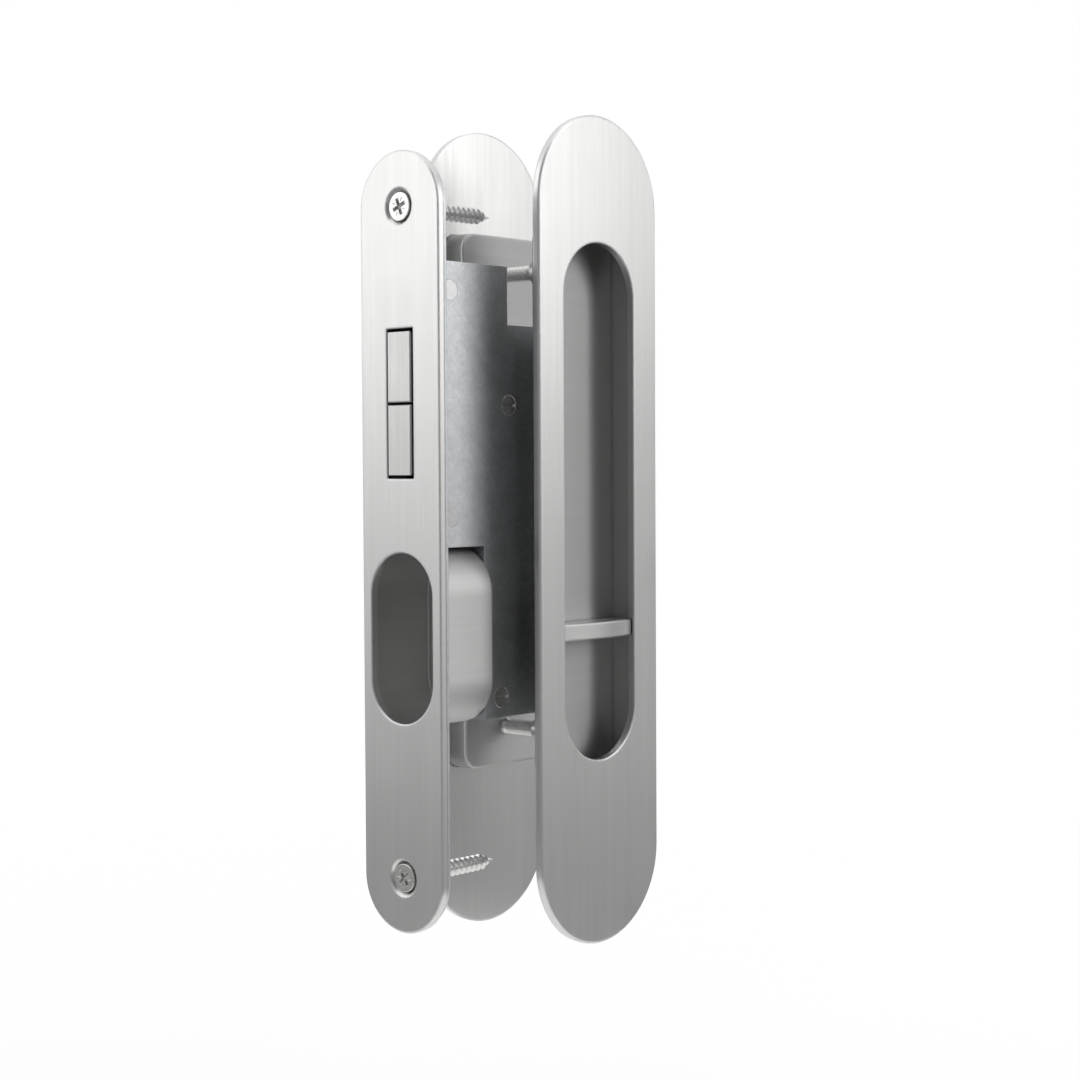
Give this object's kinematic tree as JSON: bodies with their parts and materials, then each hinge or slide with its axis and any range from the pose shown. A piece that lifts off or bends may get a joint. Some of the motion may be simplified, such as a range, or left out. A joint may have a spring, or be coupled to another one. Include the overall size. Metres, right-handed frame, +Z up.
{
  "type": "cavity sliding door lock",
  "caption": "Sliding door privacy lock: round-ended faceplate with hook bolts and a finger cup, and a flush pull on each door face with a turning snib inside.",
  "frame": {"origin": "centre of the faceplate's front face, in the plane of the door's edge", "axes": "+X into the door from its edge, +Y through the door from the snib's face to the other, +Z up"},
  "size_m": [0.0731, 0.0429, 0.21],
  "materials": {
    "brushed_nickel": "fine upright brushing, satin nickel",
    "satin_cup": "satin pressed stainless steel",
    "hook_steel": "satin nickel on steel",
    "bright_screw": "bright nickel plate",
    "zinc_plate": "zinc-plated sheet steel",
    "pin_steel": "turned steel",
    "spring_steel": "blued spring steel",
    "hub_brass": "cast brass",
    "nylon": "natural nylon"
  },
  "bodies": {
    "lock": {"faceplate": "brushed_nickel", "inside_pull_plate": "brushed_nickel", "outside_pull_plate": "brushed_nickel", "inside_pull_cup": "satin_cup", "outside_pull_cup": "satin_cup", "finger_cup": "satin_cup", "faceplate_screws": "bright_screw", "pull_bolts": "bright_screw", "case_cover_screws": "bright_screw", "inner_forend": "zinc_plate", "case_body": "zinc_plate", "case_cover": "zinc_plate", "case_posts": "pin_steel", "hook_pivot_pins": "pin_steel", "hook_spacers": "pin_steel", "pull_sleeves": "pin_steel", "detent_spring": "spring_steel", "turn_bushes": "nylon"},
    "turn": {"snib": "brushed_nickel", "snib_hub": "pin_steel", "spindle": "pin_steel", "follower_hub": "hub_brass", "crank_pin": "pin_steel", "release_turn": "brushed_nickel", "release_clip": "spring_steel"},
    "carriage": {"drive_carriage": "zinc_plate"},
    "upper_bolt": {"upper_hook": "hook_steel", "upper_hook_pin": "pin_steel"},
    "lower_bolt": {"lower_hook": "hook_steel", "lower_hook_pin": "pin_steel"}
  },
  "joints": [
    {"name": "snib_turn", "type": "hinge", "parent": "lock", "child": "turn", "pos_m": [0.05, 0, -0.023], "axis": [0, -1, 0], "range_deg": [0, 90], "deforming": ["detent_spring"]},
    {"name": "carriage_slide", "type": "slide", "parent": "lock", "child": "carriage", "axis": [-1, 0, 0], "range_m": [0, 0.01302]},
    {"name": "upper_hook_swing", "type": "hinge", "parent": "lock", "child": "upper_bolt", "pos_m": [0.0095, 0, 0.0615], "axis": [0, 1, 0], "range_deg": [0, 45]},
    {"name": "lower_hook_swing", "type": "hinge", "parent": "lock", "child": "lower_bolt", "pos_m": [0.0095, 0, 0.0065], "axis": [0, -1, 0], "range_deg": [0, 45]}
  ],
  "couplings": [
    {"joint": "carriage_slide", "follows": "snib_turn", "m_per_rad": 0.0082829},
    {"joint": "upper_hook_swing", "follows": "snib_turn", "ratio": 0.5},
    {"joint": "lower_hook_swing", "follows": "snib_turn", "ratio": 0.5}
  ]
}
